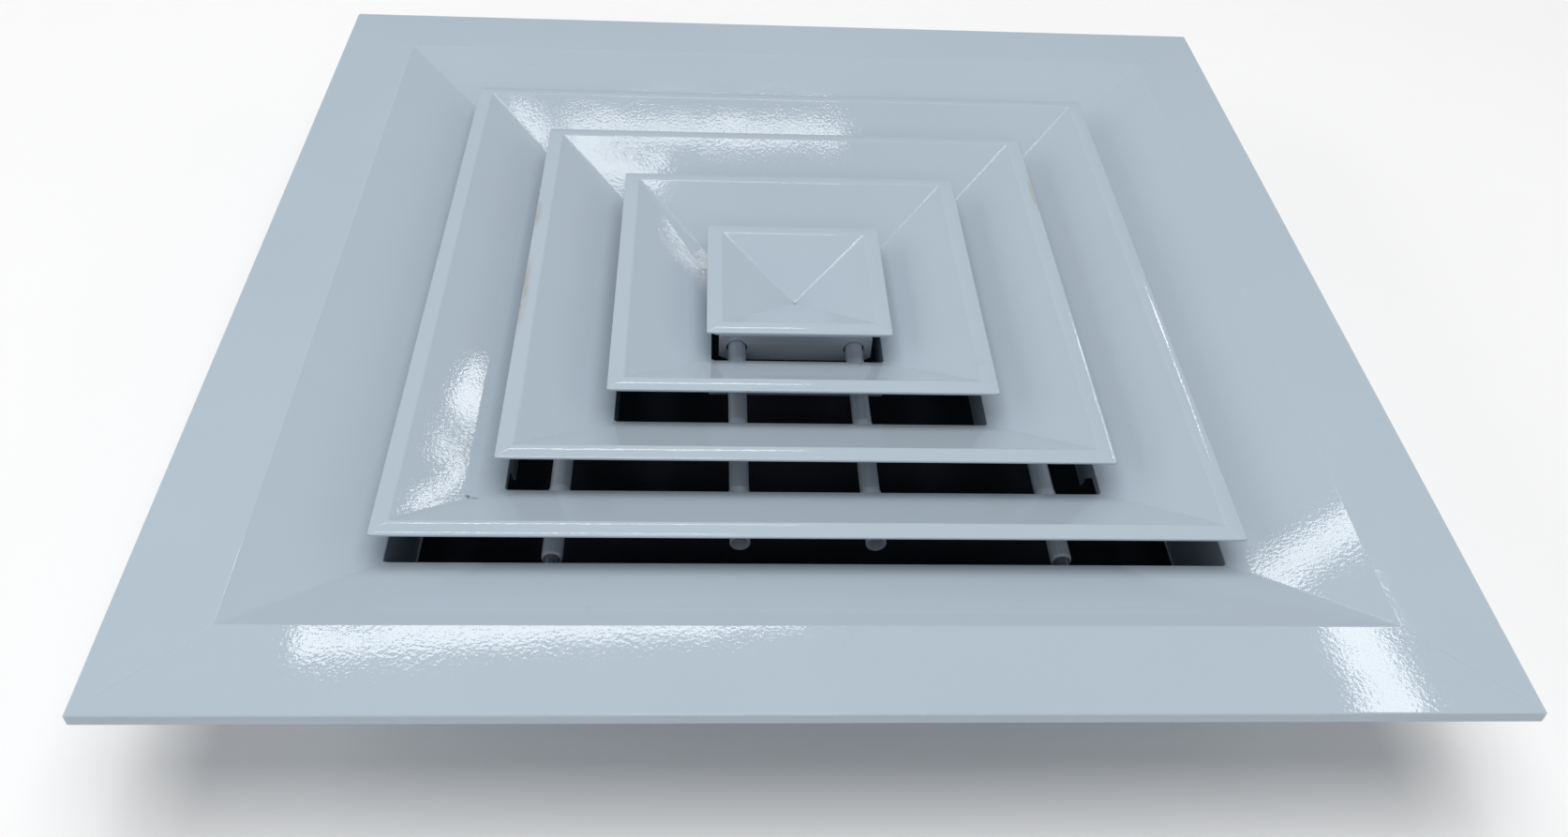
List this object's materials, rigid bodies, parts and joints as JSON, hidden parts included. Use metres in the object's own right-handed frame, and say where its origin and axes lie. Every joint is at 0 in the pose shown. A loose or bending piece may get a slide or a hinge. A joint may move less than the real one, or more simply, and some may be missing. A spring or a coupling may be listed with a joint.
{
  "type": "ceiling air diffuser",
  "caption": "Square four-way ceiling air diffuser: mitred frame with neck collar and a removable louvre core held by sprung pins.",
  "frame": {"origin": "centre of the square neck collar's lower (duct side) end", "axes": "+Z out of the face that looks into the room; +Y and -Y through the sides that the cross tubes reach; +X along the other pair"},
  "size_m": [0.595, 0.595, 0.078],
  "materials": {
    "white_paint": "gloss white powder coat with fine orange peel",
    "aluminium": "mill finish, dull",
    "steel": "zinc plated"
  },
  "bodies": {
    "frame": {"frame_rail_front": "white_paint", "frame_rail_right": "white_paint", "frame_rail_back": "white_paint", "frame_rail_left": "white_paint", "frame_key_front_right": "steel", "frame_key_right_back": "steel", "frame_key_back_left": "steel", "frame_key_left_front": "steel"},
    "core": {"outer_ring_front": "white_paint", "outer_ring_right": "white_paint", "outer_ring_back": "white_paint", "outer_ring_left": "white_paint", "outer_key_front_right": "steel", "outer_key_right_back": "steel", "outer_key_back_left": "steel", "outer_key_left_front": "steel", "middle_ring_front": "white_paint", "middle_ring_right": "white_paint", "middle_ring_back": "white_paint", "middle_ring_left": "white_paint", "middle_key_front_right": "steel", "middle_key_right_back": "steel", "middle_key_back_left": "steel", "middle_key_left_front": "steel", "inner_ring_front": "white_paint", "inner_ring_right": "white_paint", "inner_ring_back": "white_paint", "inner_ring_left": "white_paint", "inner_key_front_right": "steel", "inner_key_right_back": "steel", "inner_key_back_left": "steel", "inner_key_left_front": "steel", "centre_plate_front": "white_paint", "centre_plate_right": "white_paint", "centre_plate_back": "white_paint", "centre_plate_left": "white_paint", "centre_key_front_right": "steel", "centre_key_right_back": "steel", "centre_key_back_left": "steel", "centre_key_left_front": "steel", "core_bracket": "aluminium", "centre_seat": "aluminium", "bracket_screw_left": "steel", "inner_tube_left": "aluminium", "outer_tube_left": "aluminium", "bracket_screw_right": "steel", "inner_tube_right": "aluminium", "outer_tube_right": "aluminium", "latch_spring_front_left": "steel", "latch_spring_front_right": "steel", "latch_spring_back_left": "steel", "latch_spring_back_right": "steel"},
    "latch_pin_front_left": {"latch_pin_front_left": "steel"},
    "latch_pin_front_right": {"latch_pin_front_right": "steel"},
    "latch_pin_back_left": {"latch_pin_back_left": "steel"},
    "latch_pin_back_right": {"latch_pin_back_right": "steel"}
  },
  "joints": [
    {"name": "core_release", "type": "slide", "parent": "frame", "child": "core", "axis": [0, 0, 1], "range_m": [0, 0.015], "deforming": ["latch_spring_front_left", "latch_spring_front_right", "latch_spring_back_left", "latch_spring_back_right"]},
    {"name": "pin_front_left", "type": "slide", "parent": "core", "child": "latch_pin_front_left", "axis": [0, 1, 0], "range_m": [0, 0.015], "stiffness_N_per_m": 300, "springref_m": -0.01},
    {"name": "pin_front_right", "type": "slide", "parent": "core", "child": "latch_pin_front_right", "axis": [0, 1, 0], "range_m": [0, 0.015], "stiffness_N_per_m": 300, "springref_m": -0.01},
    {"name": "pin_back_left", "type": "slide", "parent": "core", "child": "latch_pin_back_left", "axis": [0, -1, 0], "range_m": [0, 0.015], "stiffness_N_per_m": 300, "springref_m": -0.01},
    {"name": "pin_back_right", "type": "slide", "parent": "core", "child": "latch_pin_back_right", "axis": [0, -1, 0], "range_m": [0, 0.015], "stiffness_N_per_m": 300, "springref_m": -0.01}
  ],
  "couplings": [
    {"joint": "pin_front_left", "follows": "core_release", "ratio": 1},
    {"joint": "pin_front_right", "follows": "core_release", "ratio": 1},
    {"joint": "pin_back_left", "follows": "core_release", "ratio": 1},
    {"joint": "pin_back_right", "follows": "core_release", "ratio": 1}
  ]
}
